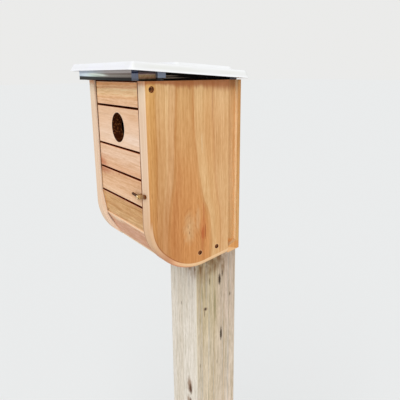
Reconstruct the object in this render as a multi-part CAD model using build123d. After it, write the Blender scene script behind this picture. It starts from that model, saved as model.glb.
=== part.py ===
from build123d import *
import math
import os

os.makedirs("parts", exist_ok=True)

# Driving dimensions in millimetres
# The house is drawn with its front face on Y = 0 and its top on Z = 0, then lifted onto the post.

# House body
box_width = 174
box_depth = 140
side_thickness = 20
back_thickness = 20
curve_radius = 68
bottom_slope_deg = 10.9
back_height = 230.6
side_round = 4.5
back_round = 2
top_above_ground = 1280

# Door of four boards with a round entrance
door_recess = 3
board_thickness = 14
door_side_gap = 2
board_gap = 2.5
gap_heights = [32.4, 85.8, 120.1, 155.6]
door_top_gap = 1.2
entrance_diameter = 38.1
entrance_drop = 59.7
board_round = 0.8
batten_width = 16
batten_thickness = 10
batten_edge_inset = 9
batten_top_inset = 12
batten_foot_inset = 6
batten_round = 2

# Fixed boards below the door
lower_board_lift = 65.8
lower_board_foot_setback = 8.6
fixed_board_thickness = 13
sloping_board_angle_deg = 62
sloping_board_lift = 28.1
ledge_width = 0.8
floor_thickness = 16
floor_lift = 10

# Pivot screws of the door
pivot_drop = 9.3
pivot_setback = 8.5
pivot_pin_diameter = 4.4
pivot_pin_length = 42
pin_clearance = 0.3
pivot_head_diameter = 7
pivot_head_thickness = 2.4
head_clearance = 0.4
pivot_head_depth = 4

# Screws of the floor
floor_screw_insets = [67, 39.5]
floor_screw_lifts = [19.7, 17.4]
floor_screw_shank = 3.6
floor_screw_head = 5.2
floor_screw_head_thickness = 2
floor_screw_head_depth = 1.2
floor_screw_length = 40
shank_clearance = 0.1

# Turn button on the door
button_edge_inset = 4
button_lift = 15.3
button_thickness = 2
button_gap = 0.5
button_paddle_reach = 19.5
button_paddle_width = 5.6
button_paddle_tilt_deg = 11
button_tail_reach = 17.7
button_tail_width = 3.2
button_tail_tilt_deg = -4
button_hub_diameter = 7
button_edge_round = 0.6
button_screw_head = 5
button_screw_head_height = 1.6
button_screw_head_round = 0.9
button_screw_shank = 2.6
button_screw_length = 14
button_screw_clearance = 0.15
screw_slot_width = 0.9
screw_slot_depth = 0.7

# Recess along both edges of the back board
edge_recess_depth = 6.5
edge_recess_width = 14.8
edge_recess_stop_lift = 5
edge_recess_stop_slope_deg = 26

# Moulded roof shell
roof_side_overhang = 12.5
roof_front_overhang = 23.5
roof_rear_overhang = 6.5
roof_front_height = 12.9
roof_slope_deg = 3.9
rim_height = 9.5
rim_draft_deg = 30
rim_round = 2
shell_thickness = 2.4
roof_corner = 8
panel_side_inset = 13.5
panel_front_inset = 63.5
panel_rear_inset = 17.5
panel_height = 3.6
panel_draft_deg = 40
panel_corner = 8

# Rails, batten and liner under the roof
rail_end_inset = 4
front_rail_setback = -14
front_rail_depth = 8.5
front_rail_height = 0.8
middle_rail_setback = 19.2
middle_rail_depth = 10.8
middle_rail_height = 3.4
rear_rail_inset = 16
rear_rail_depth = 10.8
roof_batten_rise = 10.8
roof_batten_relief = 5.5
roof_batten_foot_step = 1
liner_lift = 0.6
liner_end_inset = 9
spacer_diameter = 10.5
roof_screw_shank = 4
roof_screw_head = 8
roof_screw_head_thickness = 2.4
roof_screw_grip = 24
rear_roof_screw_inset = 27

# Post
post_width = 76
tongue_thickness = 33.3
post_arris = 3
tongue_rise = 140
housing_gap = 0.3
post_screw_shank = 8
post_screw_head = 13
post_screw_head_height = 5
post_screw_grip = 14
post_screw_lifts = [115.6, 40.6]

# Seats that lie close without touching, and how far a cut runs past a surface
seat_gap = 0.3
cut_past = 1

# Values worked out from the driving dimensions
half_width = box_width / 2
inner_half = half_width - side_thickness
door_half = inner_half - door_side_gap
back_front = box_depth - back_thickness
bottom_slope = math.tan(math.radians(bottom_slope_deg))
roof_slope = math.tan(math.radians(roof_slope_deg))
board_back = door_recess + board_thickness
button_place = door_half - button_edge_inset
button_drop = gap_heights[3] - button_lift
roof_width = box_width + 2 * roof_side_overhang
roof_depth = roof_front_overhang + box_depth + roof_rear_overhang
panel_width = roof_width - 2 * panel_side_inset
panel_depth = roof_depth - panel_front_inset - panel_rear_inset
rail_half_length = half_width - rail_end_inset
rear_rail_setback = box_depth - rear_rail_inset
liner_half_width = half_width - liner_end_inset
rear_roof_screw_place = half_width - rear_roof_screw_inset
post_back = box_depth + tongue_thickness
post_setback = post_back - post_width
post_centre = post_setback + post_width / 2
post_screw_drops = [back_height - lift for lift in post_screw_lifts]
house_place = Pos(0, -post_centre, top_above_ground)


def bottom_z(y):
    """Height of the straight bottom edge of the sides."""
    return -back_height - (box_depth - y) * bottom_slope


lower_board_foot = -bottom_z(0) - lower_board_lift
sloping_board_foot = -bottom_z(0) - sloping_board_lift


def roof_z(y):
    """Height of the roof rim's lower edge."""
    return roof_front_height - (y + roof_front_overhang) * roof_slope


def ceiling_z(y):
    """Height of the underside of the roof shell, less the seat."""
    return roof_z(y) + rim_height - shell_thickness - seat_gap


def save(name, shape):
    placed = house_place * shape
    placed.label = name
    export_step(placed, "parts/" + name + ".step")


def box_between(low, high):
    size = [h - l for l, h in zip(low, high)]
    middle = [(h + l) / 2 for l, h in zip(low, high)]
    return Pos(*middle) * Box(*size)


def prism_x(points, x_low, x_high):
    """A prism along X over an outline of (y, z) points."""
    wire = Polyline(*[(0, y, z) for y, z in points], close=True)
    face = Face(Wire(wire.edges()))
    return Pos(x_low, 0, 0) * extrude(face, x_high - x_low, dir=(1, 0, 0))


def rod_x(diameter, x_low, x_high, y, z):
    length = x_high - x_low
    return Pos((x_low + x_high) / 2, y, z) * Rot(Y=90) * Cylinder(diameter / 2, length)


def rod_y(diameter, y_low, y_high, x, z):
    length = y_high - y_low
    return Pos(x, (y_low + y_high) / 2, z) * Rot(X=90) * Cylinder(diameter / 2, length)


def rod_z(diameter, z_low, z_high, x, y):
    return Pos(x, y, (z_low + z_high) / 2) * Cylinder(diameter / 2, z_high - z_low)


def floor_screw_points():
    """Setbacks and heights of the screws that hold the floor."""
    setbacks = [box_depth - inset for inset in floor_screw_insets]
    return [(y, bottom_z(y) + lift) for y, lift in zip(setbacks, floor_screw_lifts)]


# Sides with the rounded lower front
def side_outline():
    """The side's profile with its round lower front corner."""
    corners = [(0, 0), (back_front, 0), (back_front, bottom_z(back_front)), (0, bottom_z(0))]
    wire = Polyline(*[(0, y, z) for y, z in corners], close=True)
    face = Face(Wire(wire.edges()))
    corner = face.vertices().sort_by(Axis.Y)[:2].sort_by(Axis.Z)[0]
    return fillet(corner, curve_radius)


def side_panel(hand):
    panel = extrude(side_outline(), side_thickness, dir=(1, 0, 0))
    panel = Pos(inner_half, 0, 0) * panel
    outer = panel.faces().sort_by(Axis.X)[-1]
    edges = [
        edge
        for edge in outer.edges()
        if edge.center().Z < -side_round and edge.center().Y < back_front - side_round
    ]
    panel = fillet(edges, side_round)
    panel -= rod_x(
        pivot_pin_diameter + 2 * shank_clearance,
        inner_half - cut_past,
        half_width + cut_past,
        pivot_setback,
        -pivot_drop,
    )
    panel -= rod_x(
        pivot_head_diameter + 2 * head_clearance,
        half_width - pivot_head_depth - pivot_head_thickness,
        half_width + cut_past,
        pivot_setback,
        -pivot_drop,
    )
    for y, z in floor_screw_points():
        panel -= rod_x(
            floor_screw_shank + 2 * shank_clearance,
            inner_half - cut_past,
            half_width + cut_past,
            y,
            z,
        )
        panel -= rod_x(
            floor_screw_head + 2 * shank_clearance,
            half_width - floor_screw_head_depth - floor_screw_head_thickness,
            half_width + cut_past,
            y,
            z,
        )
    screw_y = middle_rail_setback + middle_rail_depth / 2
    screw_x = (inner_half + half_width) / 2
    panel -= rod_z(roof_screw_shank + 2 * shank_clearance, -roof_screw_grip, cut_past, screw_x, screw_y)
    return panel if hand > 0 else mirror(panel, Plane.YZ)


# Back board with a stopped recess along each edge
def back_board():
    outline = [
        (back_front, 0),
        (box_depth, 0),
        (box_depth, bottom_z(box_depth)),
        (back_front, bottom_z(back_front)),
    ]
    board = prism_x(outline, -half_width, half_width)
    rear_edges = [
        edge
        for edge in board.edges().filter_by(Axis.Z)
        if edge.center().Y > box_depth - back_round
    ]
    board = fillet(rear_edges, back_round)
    stop_rise = edge_recess_width * math.tan(math.radians(edge_recess_stop_slope_deg))
    stop = -back_height + edge_recess_stop_lift
    recess = [
        (back_front - cut_past, cut_past),
        (back_front + edge_recess_width, cut_past),
        (back_front + edge_recess_width, stop + stop_rise),
        (back_front, stop),
        (back_front - cut_past, stop),
    ]
    cut = prism_x(recess, half_width - edge_recess_depth, half_width + cut_past)
    board -= cut
    board -= mirror(cut, Plane.YZ)
    for drop in post_screw_drops:
        board -= rod_y(
            post_screw_shank + 2 * shank_clearance,
            box_depth - post_screw_grip,
            box_depth + cut_past,
            0,
            -drop,
        )
    for x in (-rear_roof_screw_place, rear_roof_screw_place):
        board -= rod_z(
            roof_screw_shank + 2 * shank_clearance,
            -roof_screw_grip,
            cut_past,
            x,
            rear_rail_setback + rear_rail_depth / 2,
        )
    return board


# Boards of the door
def board_limits(index):
    """Top and bottom heights of a door board."""
    top = -door_top_gap if index == 0 else -gap_heights[index - 1] - board_gap / 2
    bottom = -gap_heights[index] + board_gap / 2
    return top, bottom


def eased(board):
    """A board with its long front edges rounded off."""
    long_edges = board.edges().filter_by(Axis.X)
    front_edges = [edge for edge in long_edges if edge.center().Y < door_recess + board_round]
    return fillet(front_edges, board_round)


def door_board(index):
    top, bottom = board_limits(index)
    board = eased(box_between((-door_half, door_recess, bottom), (door_half, board_back, top)))
    if index == 0:
        for hand in (-1, 1):
            pin_end = half_width - pivot_head_depth - pivot_pin_length
            bore = rod_x(
                pivot_pin_diameter + 2 * pin_clearance,
                pin_end - cut_past,
                door_half + cut_past,
                pivot_setback,
                -pivot_drop,
            )
            board -= bore if hand > 0 else mirror(bore, Plane.YZ)
    if index == 1:
        board -= rod_y(entrance_diameter, door_recess - cut_past, board_back + cut_past, 0, -entrance_drop)
    if index == 3:
        board -= rod_y(
            button_screw_shank + 2 * shank_clearance,
            door_recess - cut_past,
            door_recess + button_screw_length,
            button_place,
            -button_drop,
        )
    return board


def door_batten(hand):
    top = board_limits(0)[1] + batten_top_inset
    bottom = board_limits(3)[1] + batten_foot_inset
    outer = door_half - batten_edge_inset
    batten = box_between(
        (outer - batten_width, board_back, bottom),
        (outer, board_back + batten_thickness, top),
    )
    batten = fillet(batten.edges().filter_by(Axis.Z).sort_by(Axis.Y)[-2:], batten_round)
    return batten if hand > 0 else mirror(batten, Plane.YZ)


def pivot_screw(hand):
    head_outer = half_width - pivot_head_depth
    head_inner = head_outer - pivot_head_thickness
    screw = rod_x(pivot_head_diameter, head_inner, head_outer, pivot_setback, -pivot_drop)
    screw += rod_x(
        pivot_pin_diameter,
        head_outer - pivot_pin_length,
        head_inner,
        pivot_setback,
        -pivot_drop,
    )
    screw -= Pos(head_outer, pivot_setback, -pivot_drop) * Box(
        2 * screw_slot_depth,
        pivot_head_diameter + cut_past,
        screw_slot_width,
    )
    return screw if hand > 0 else mirror(screw, Plane.YZ)


# Turn button that laps over the side of the frame
def button_arm(reach, width, turn_deg):
    """A flat arm with a round end, from the pivot outwards."""
    straight = reach - width / 2
    arm = Pos(straight / 2, 0, 0) * Box(straight, button_thickness, width)
    arm += Pos(straight, 0, 0) * Rot(X=90) * Cylinder(width / 2, button_thickness)
    return Rot(Y=-turn_deg) * arm


def turn_button():
    back = -button_gap
    front = back - button_thickness
    bar = button_arm(button_paddle_reach, button_paddle_width, button_paddle_tilt_deg)
    bar += button_arm(button_tail_reach, button_tail_width, 180 + button_tail_tilt_deg)
    bar += Rot(X=90) * Cylinder(button_hub_diameter / 2, button_thickness)
    front_face = bar.faces().sort_by(Axis.Y)[0]
    bar = fillet(front_face.edges(), button_edge_round)
    bar = Pos(button_place, (back + front) / 2, -button_drop) * bar
    hub_back = door_recess - seat_gap
    bar += rod_y(button_hub_diameter, back - button_thickness / 2, hub_back, button_place, -button_drop)
    bar -= rod_y(
        button_screw_shank + 2 * button_screw_clearance,
        front - cut_past,
        hub_back + cut_past,
        button_place,
        -button_drop,
    )
    return bar


def turn_button_screw():
    back = -button_gap - button_thickness - button_screw_clearance
    head = Cylinder(button_screw_head / 2, button_screw_head_height)
    rim = head.edges().filter_by(GeomType.CIRCLE).sort_by(Axis.Z)[-1]
    head = fillet(rim, button_screw_head_round)
    slot = Box(button_screw_head + cut_past, screw_slot_width, 2 * screw_slot_depth)
    head -= Pos(0, 0, button_screw_head_height / 2) * slot
    middle = back - button_screw_head_height / 2
    screw = Pos(button_place, middle, -button_drop) * Rot(X=90) * head
    screw += rod_y(
        button_screw_shank,
        back,
        door_recess + button_screw_length - cut_past,
        button_place,
        -button_drop,
    )
    return screw


# Fixed boards that follow the curve under the door
def lower_front_board():
    top = -gap_heights[3] - board_gap / 2
    foot = -lower_board_foot
    outline = [
        (door_recess, top),
        (door_recess + fixed_board_thickness, top),
        (lower_board_foot_setback + fixed_board_thickness, foot),
        (lower_board_foot_setback, foot),
    ]
    return eased(prism_x(outline, -inner_half, inner_half))


def sloping_outline_y(z):
    """Front face of the sloping board at a height."""
    run = (-lower_board_foot - z) / math.tan(math.radians(sloping_board_angle_deg))
    return lower_board_foot_setback - ledge_width + run


def sloping_front_board():
    across = fixed_board_thickness / math.sin(math.radians(sloping_board_angle_deg))
    top = -lower_board_foot
    foot = -sloping_board_foot
    outline = [
        (sloping_outline_y(top), top),
        (sloping_outline_y(top) + across, top),
        (sloping_outline_y(foot) + across, foot),
        (sloping_outline_y(foot), foot),
    ]
    return prism_x(outline, -inner_half, inner_half)


def floor_level(y, lift):
    return bottom_z(y) + lift


def floor_board():
    """The floor, whose nose lies against the back of the sloping board."""
    across = fixed_board_thickness / math.sin(math.radians(sloping_board_angle_deg))
    face_slope = math.tan(math.radians(sloping_board_angle_deg))
    rise = floor_thickness / math.cos(math.radians(bottom_slope_deg))
    start = sloping_outline_y(-lower_board_foot) + across + seat_gap

    def nose(lift):
        base = bottom_z(0) + lift
        y = (-lower_board_foot - base + start * face_slope) / (bottom_slope + face_slope)
        return y, base + bottom_slope * y

    outline = [
        nose(floor_lift),
        (back_front, floor_level(back_front, floor_lift)),
        (back_front, floor_level(back_front, floor_lift + rise)),
        nose(floor_lift + rise),
    ]
    board = prism_x(outline, -inner_half, inner_half)
    for y, z in floor_screw_points():
        hole = rod_x(
            floor_screw_shank + 2 * shank_clearance,
            half_width - floor_screw_head_depth - floor_screw_length - cut_past,
            half_width,
            y,
            z,
        )
        board -= hole
        board -= mirror(hole, Plane.YZ)
    return board


def floor_screw(hand, y, z):
    head_outer = half_width - floor_screw_head_depth
    head_inner = head_outer - floor_screw_head_thickness
    screw = rod_x(floor_screw_head, head_inner, head_outer, y, z)
    screw += rod_x(floor_screw_shank, head_outer - floor_screw_length, head_inner, y, z)
    return screw if hand > 0 else mirror(screw, Plane.YZ)


# Moulded roof shell with a raised panel
def tapered_block(width, depth, height, corner, draft_deg, x, y, z):
    sketch = Pos(x, y, z) * RectangleRounded(width, depth, corner)
    return extrude(sketch, height, taper=draft_deg)


def roof_shell():
    mid = roof_depth / 2
    shell = tapered_block(roof_width, roof_depth, rim_height, roof_corner, rim_draft_deg, 0, mid, 0)
    shell = fillet(shell.faces().sort_by(Axis.Z)[-1].edges(), rim_round)
    panel_mid = panel_front_inset + panel_depth / 2
    shell += tapered_block(
        panel_width,
        panel_depth,
        panel_height,
        panel_corner,
        panel_draft_deg,
        0,
        panel_mid,
        rim_height,
    )
    shell -= tapered_block(
        roof_width - 2 * shell_thickness,
        roof_depth - 2 * shell_thickness,
        rim_height - shell_thickness,
        roof_corner - shell_thickness,
        rim_draft_deg,
        0,
        mid,
        0,
    )
    tilt = Pos(0, -roof_front_overhang, roof_front_height) * Rot(X=-roof_slope_deg)
    return tilt * shell


# Rails and boards under the roof
def roof_rail(setback, depth, foot):
    back = setback + depth
    outline = [(setback, foot), (back, foot), (back, ceiling_z(back)), (setback, ceiling_z(setback))]
    return prism_x(outline, -rail_half_length, rail_half_length)


def screw_hole_pair(place, y, low, high, diameter):
    pair = rod_z(diameter, low, high, place, y)
    return [pair, mirror(pair, Plane.YZ)]


def screwed_rail(setback, depth, foot, place):
    rail = roof_rail(setback, depth, foot)
    y = setback + depth / 2
    head_low = ceiling_z(setback + depth) - roof_screw_head_thickness
    past = ceiling_z(setback) + cut_past
    for hole in screw_hole_pair(place, y, foot - cut_past, past, roof_screw_shank + 2 * shank_clearance):
        rail -= hole
    for hole in screw_hole_pair(place, y, head_low - seat_gap, past, roof_screw_head + 2 * shank_clearance):
        rail -= hole
    return rail


def roof_screw(setback, depth, place):
    y = setback + depth / 2
    head_low = ceiling_z(setback + depth) - roof_screw_head_thickness
    head_high = ceiling_z(setback + depth) - seat_gap
    screw = rod_z(roof_screw_head, head_low, head_high, place, y)
    screw += rod_z(roof_screw_shank, -roof_screw_grip + cut_past, head_low, place, y)
    return screw


def rail_spacer(hand):
    y = middle_rail_setback + middle_rail_depth / 2
    x = hand * (inner_half + half_width) / 2
    spacer = rod_z(spacer_diameter, 0, middle_rail_height, x, y)
    spacer -= rod_z(roof_screw_shank + 2 * shank_clearance, -cut_past, middle_rail_height + cut_past, x, y)
    return spacer


def roof_batten():
    """Batten that rests on the sides and is relieved above the door."""
    front = front_rail_setback + front_rail_depth
    batten = box_between(
        (-liner_half_width, front, seat_gap),
        (liner_half_width, middle_rail_setback, roof_batten_rise),
    )
    relief_half = inner_half + roof_batten_foot_step
    batten -= box_between(
        (-relief_half, front - cut_past, -cut_past),
        (relief_half, middle_rail_setback + cut_past, roof_batten_relief),
    )
    return batten


def roof_liner():
    """Board that fills the space between the rails and keeps light and wind out."""
    front = middle_rail_setback + middle_rail_depth
    outline = [
        (front, liner_lift),
        (rear_rail_setback, liner_lift),
        (rear_rail_setback, ceiling_z(rear_rail_setback)),
        (front, ceiling_z(front)),
    ]
    return prism_x(outline, -liner_half_width, liner_half_width)


# Post with a seat, a housing for the back board and a tongue behind it
def post():
    ground = -top_above_ground
    half = post_width / 2
    seat = floor_lift - seat_gap
    housing_front = back_front - housing_gap
    housing_back = box_depth + housing_gap
    tongue_top = -back_height + tongue_rise
    outline = [
        (post_setback, ground),
        (post_back, ground),
        (post_back, tongue_top),
        (housing_back, tongue_top),
        (housing_back, bottom_z(housing_back) - seat_gap),
        (housing_front, bottom_z(housing_front) - seat_gap),
        (housing_front, bottom_z(housing_front) + seat),
        (post_setback, bottom_z(post_setback) + seat),
    ]
    body = prism_x(outline, -half, half)
    long_edges = [
        edge
        for edge in body.edges().filter_by(Axis.Z)
        if abs(abs(edge.center().X) - half) < post_arris and edge.length > back_height
    ]
    body = fillet(long_edges, post_arris)
    for drop in post_screw_drops:
        body -= rod_y(
            post_screw_shank + 2 * shank_clearance,
            box_depth - cut_past,
            post_back + cut_past,
            0,
            -drop,
        )
    return body


def post_screw(drop):
    """A hexagon-headed screw from the tongue into the back board."""
    head = extrude(RegularPolygon(post_screw_head / 2, 6), post_screw_head_height)
    screw = Pos(0, post_back, -drop) * Rot(X=-90) * head
    screw += rod_y(
        post_screw_shank,
        box_depth - post_screw_grip + cut_past,
        post_back,
        0,
        -drop,
    )
    return screw


def save_house():
    names = ["top", "entrance", "third", "fourth"]
    for hand, side in ((-1, "left"), (1, "right")):
        save("side_" + side, side_panel(hand))
        save("door_batten_" + side, door_batten(hand))
        save("pivot_screw_" + side, pivot_screw(hand))
        save("rail_spacer_" + side, rail_spacer(hand))
        for (y, z), end in zip(floor_screw_points(), ("front", "rear")):
            save("floor_screw_" + side + "_" + end, floor_screw(hand, y, z))
    save("back_board", back_board())
    for index, name in enumerate(names):
        save("door_board_" + name, door_board(index))
    save("turn_button", turn_button())
    save("turn_button_screw", turn_button_screw())
    save("lower_front_board", lower_front_board())
    save("sloping_front_board", sloping_front_board())
    save("floor_board", floor_board())


def save_roof():
    side_place = (inner_half + half_width) / 2
    save("roof_shell", roof_shell())
    save("roof_rail_front", roof_rail(front_rail_setback, front_rail_depth, front_rail_height))
    middle = (middle_rail_setback, middle_rail_depth, middle_rail_height)
    rear = (rear_rail_setback, rear_rail_depth, 0)
    save("roof_rail_middle", screwed_rail(*middle, side_place))
    save("roof_rail_rear", screwed_rail(*rear, rear_roof_screw_place))
    save("roof_batten", roof_batten())
    save("roof_liner", roof_liner())
    for hand, side in ((-1, "left"), (1, "right")):
        save("roof_screw_middle_" + side, roof_screw(*middle[:2], hand * side_place))
        save("roof_screw_rear_" + side, roof_screw(*rear[:2], hand * rear_roof_screw_place))


def save_post():
    save("post", post())
    for drop, name in zip(post_screw_drops, ("upper", "lower")):
        save("post_screw_" + name, post_screw(drop))


save_house()
save_roof()
save_post()
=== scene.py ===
import math

import bpy
from mathutils import Matrix, Vector


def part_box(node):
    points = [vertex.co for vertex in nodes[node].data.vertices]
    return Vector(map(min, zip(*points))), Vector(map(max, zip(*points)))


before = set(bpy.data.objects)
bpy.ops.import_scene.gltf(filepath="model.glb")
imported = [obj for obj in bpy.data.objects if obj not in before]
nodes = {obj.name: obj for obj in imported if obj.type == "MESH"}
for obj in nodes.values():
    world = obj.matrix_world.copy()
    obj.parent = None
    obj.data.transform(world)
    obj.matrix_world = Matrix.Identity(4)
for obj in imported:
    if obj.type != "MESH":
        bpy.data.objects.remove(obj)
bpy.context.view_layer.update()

mm_per_m = 1000

# Places taken from the frame, in metres
side_low, side_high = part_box("side_right")
front_y = side_low[1]
top_z = side_high[2]


def house_box(name):
    """A node's corners in millimetres: across, behind the house's front, above its top."""
    low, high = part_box(name)
    zero = (0, front_y, top_z)
    corners = []
    for corner in (low, high):
        corners.append([(value - start) * mm_per_m for value, start in zip(corner, zero)])
    return corners


# Sizes of the house in millimetres
side_box = house_box("side_right")
back_box = house_box("back_board")
post_box = house_box("post")
entrance_box = house_box("door_board_entrance")
lower_board_box = house_box("lower_front_board")
sloping_board_box = house_box("sloping_front_board")
inner_half_width = side_box[0][0]
half_width = side_box[1][0]
board_depth = side_box[1][1]
door_front = entrance_box[0][1]
door_back = entrance_box[1][1]
entrance_drop = 59.7
entrance_radius = 19.05
lower_board_lean = 5.6
sloping_board_angle_deg = 62
recess_width = 14.8

# Camera that matches the photograph
camera_offset = Vector((0.5657, -0.2468, 0.0093))
camera_azimuth_deg = 56.2
camera_down_deg = 15.52
camera_roll_deg = -0.52
camera_lens_px = 459.86
frame_px = 400
sensor_mm = 36
clip_start_m = 0.01
clip_end_m = 100


def place_camera():
    azimuth = math.radians(camera_azimuth_deg)
    down = math.radians(camera_down_deg)
    roll = math.radians(camera_roll_deg)
    forward = Vector(
        (-math.sin(azimuth) * math.cos(down), math.cos(azimuth) * math.cos(down), -math.sin(down))
    )
    level = Vector((math.cos(azimuth), math.sin(azimuth), 0))
    upright = level.cross(forward)
    right = level * math.cos(roll) + upright * math.sin(roll)
    up = upright * math.cos(roll) - level * math.sin(roll)
    data = bpy.data.cameras.new("camera")
    data.sensor_width = sensor_mm
    data.lens = camera_lens_px / frame_px * sensor_mm
    data.clip_start = clip_start_m
    data.clip_end = clip_end_m
    camera = bpy.data.objects.new("camera", data)
    place = Vector((0, front_y, top_z)) + camera_offset
    turn = Matrix((right, up, -forward)).transposed()
    camera.matrix_world = Matrix.Translation(place) @ turn.to_4x4()
    bpy.context.scene.collection.objects.link(camera)
    bpy.context.scene.camera = camera


def rgb(red, green, blue):
    """A linear colour from the usual 0 to 255 values, by the sRGB curve."""
    def linear(value):
        share = value / 255
        return share / 12.92 if share <= 0.04045 else ((share + 0.055) / 1.055) ** 2.4
    return linear(red), linear(green), linear(blue)


# Specular level of bare wood
matt = 0.08
# Noise keeps near its middle, so a sway is widened
sway_gain = 2.5
# How a seed moves a noise along X, Y and Z
seed_shift = (1.0, 0.7, 1.3)
# Size of the noise at a patch's edge, by its radius
ragged_size = 0.6


class Shader:
    """A material whose nodes work in millimetres from the middle of the house's top front edge."""

    def __init__(self, name, seed=0.0):
        self.material = bpy.data.materials.new(name)
        self.material.use_nodes = True
        self.tree = self.material.node_tree
        self.surface = self.tree.nodes["Principled BSDF"]
        self.seed = seed
        coordinates = self.add("TexCoord")
        metres = self.vector("SUBTRACT", coordinates.outputs["Object"], (0, front_y, top_z))
        self.where = self.vector("MULTIPLY", metres, (mm_per_m, mm_per_m, mm_per_m))
        self.x, self.y, self.z = self.add("SeparateXYZ", {0: self.where}).outputs
        facing = self.add("SeparateXYZ", {0: coordinates.outputs["Normal"]})
        self.nx, self.ny, self.nz = facing.outputs

    def add(self, kind, inputs=None, **settings):
        made = self.tree.nodes.new("ShaderNode" + kind)
        for name, value in settings.items():
            setattr(made, name, value)
        for name, value in (inputs or {}).items():
            self.put(made.inputs[name], value)
        return made

    def put(self, socket, value):
        if isinstance(value, bpy.types.NodeSocket):
            self.tree.links.new(value, socket)
        elif socket.type == "RGBA" and len(value) == 3:
            socket.default_value = (*value, 1)
        else:
            socket.default_value = value

    def math(self, operation, *values):
        made = self.add("Math", dict(enumerate(values)), operation=operation)
        return made.outputs[0]

    def vector(self, operation, *values):
        made = self.add("VectorMath", dict(enumerate(values)), operation=operation)
        return made.outputs["Value" if operation == "LENGTH" else "Vector"]

    def plus(self, first, second):
        return self.math("ADD", first, second)

    def minus(self, first, second):
        return self.math("SUBTRACT", first, second)

    def product(self, first, *others):
        for other in others:
            first = self.math("MULTIPLY", first, other)
        return first

    def opposite(self, value):
        return self.minus(1.0, value)

    def negative(self, value):
        return self.math("MULTIPLY", value, -1)

    def absolute(self, value):
        return self.math("ABSOLUTE", value)

    def flat(self, across, rise):
        return self.add("CombineXYZ", {0: across, 1: rise}).outputs[0]

    def distance(self, across, rise, centre):
        """How far a flat place lies from a centre."""
        away = self.vector("SUBTRACT", self.flat(across, rise), (*centre, 0))
        return self.vector("LENGTH", away)

    def cloud(self, size, seed=0.0, detail=2.0):
        """Noise about 0.5 whose spots measure size millimetres, alike or along X, Y and Z."""
        if not isinstance(size, (tuple, list)):
            size = [size] * 3
        shift = tuple((self.seed + seed) * share for share in seed_shift)
        spread = tuple(1 / length for length in size)
        point = self.vector("MULTIPLY_ADD", self.where, spread, shift)
        inputs = {"Vector": point, "Scale": 1.0, "Detail": detail}
        return self.add("TexNoise", inputs).outputs["Fac"]

    def sway(self, size, amount, seed=0.0):
        """A gentle shift of up to about amount millimetres."""
        return self.product(self.minus(self.cloud(size, seed), 0.5), sway_gain * amount)

    def ramp(self, value, span, *stops):
        """Colours along a span: each stop is its place and the values of its colour."""
        made = self.add("ValToRGB", {0: self.math("DIVIDE", value, span)})
        band = made.color_ramp
        while len(band.elements) < len(stops):
            band.elements.new(0.5)
        for element, (place, *colour) in zip(band.elements, stops):
            element.position = place / span
            element.color = (*rgb(*colour), 1)
        return made.outputs[0]

    def curve(self, value, span, height, *points):
        """A smooth line through points, over a span and up to a height."""
        made = self.add("FloatCurve", {"Value": self.math("DIVIDE", value, span)})
        line = made.mapping.curves[0]
        while len(line.points) < len(points):
            line.points.new(0.5, 0.5)
        for knot, (place, level) in zip(line.points, points):
            knot.location = (place / span, level / height)
        made.mapping.update()
        return self.math("MULTIPLY", made.outputs[0], height)

    def step(self, value, low, high, low_value=0.0, high_value=1.0, kind="SMOOTHSTEP"):
        """A smooth change from one value to another between two places."""
        inputs = {0: value, 1: low, 2: high, 3: low_value, 4: high_value}
        return self.add("MapRange", inputs, interpolation_type=kind).outputs[0]

    def slope(self, *values):
        """A straight change instead of a smooth one."""
        return self.step(*values, kind="LINEAR")

    def between(self, value, low, high, soft=0.5):
        """1 from low to high and 0 outside, with soft ends."""
        rises = self.step(value, low - soft, low + soft)
        falls = self.step(value, high + soft, high - soft)
        return self.product(rises, falls)

    def patch(self, flat, centre, radii, ragged=0.0, core=0.35):
        """1 in the middle of an ellipse and 0 outside it, with a ragged edge."""
        spread = (1 / radii[0], 1 / radii[1], 0)
        shift = (-centre[0] / radii[0], -centre[1] / radii[1], 0)
        distance = self.vector("LENGTH", self.vector("MULTIPLY_ADD", flat, spread, shift))
        if ragged:
            roughly = self.minus(self.cloud(ragged_size * (min(radii) + 1), centre[1]), 0.5)
            distance = self.math("MULTIPLY_ADD", roughly, ragged, distance)
        return self.step(distance, 1.0, core)

    def mix(self, amount, first, second, blend="MIX"):
        """Blends two colours; one that isn't a socket is given from 0 to 255."""
        made = self.add("Mix", data_type="RGBA", blend_type=blend)
        self.put(made.inputs["Factor"], amount)
        for name, colour in (("A", first), ("B", second)):
            self.put(made.inputs[name], rgb(*colour) if isinstance(colour, tuple) else colour)
        return made.outputs["Result"]

    def cover(self, colour, tint, *shares):
        """A tint over a colour, as strong as all its shares together."""
        return self.mix(self.product(*shares), colour, tint)

    def marked(self, colour, flat, marks, ragged=0.5, core=0.35, *shares):
        """Spots over a colour, each with its centre, radii, tint and strength."""
        for centre, radii, tint, strength in marks:
            spot = self.patch(flat, centre, radii, ragged, core)
            colour = self.cover(colour, tint, spot, strength, *shares)
        return colour

    def tone(self, colour, *parts):
        """A colour made lighter and darker by noises, each with its strength."""
        factor = 1.0
        for noise, strength in parts:
            factor = self.math("MULTIPLY_ADD", self.minus(noise, 0.5), strength, factor)
        return self.mix(1.0, colour, self.tinted(factor), "MULTIPLY")

    def tinted(self, factor):
        return factor

    def give(self, name, value):
        """Sets an input of the surface."""
        self.put(self.surface.inputs[name], value)

    def bump(self, height, distance_mm, strength):
        inputs = {"Height": height, "Distance": distance_mm / mm_per_m, "Strength": strength}
        made = self.add("Bump", inputs)
        self.give("Normal", made.outputs[0])

    def finish(self, colour, roughness, **constants):
        self.give("Base Color", colour)
        self.give("Roughness", roughness)
        for name, value in constants.items():
            self.surface.inputs[name.replace("_", " ")].default_value = value
        return self.material


# Sawn wood: its least brightness, the height of its fibres, and its roughness between and on them
darkest = 0.03
fibre_mm = 0.12
fibre_roughness = (0.62, 0.5)


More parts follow.
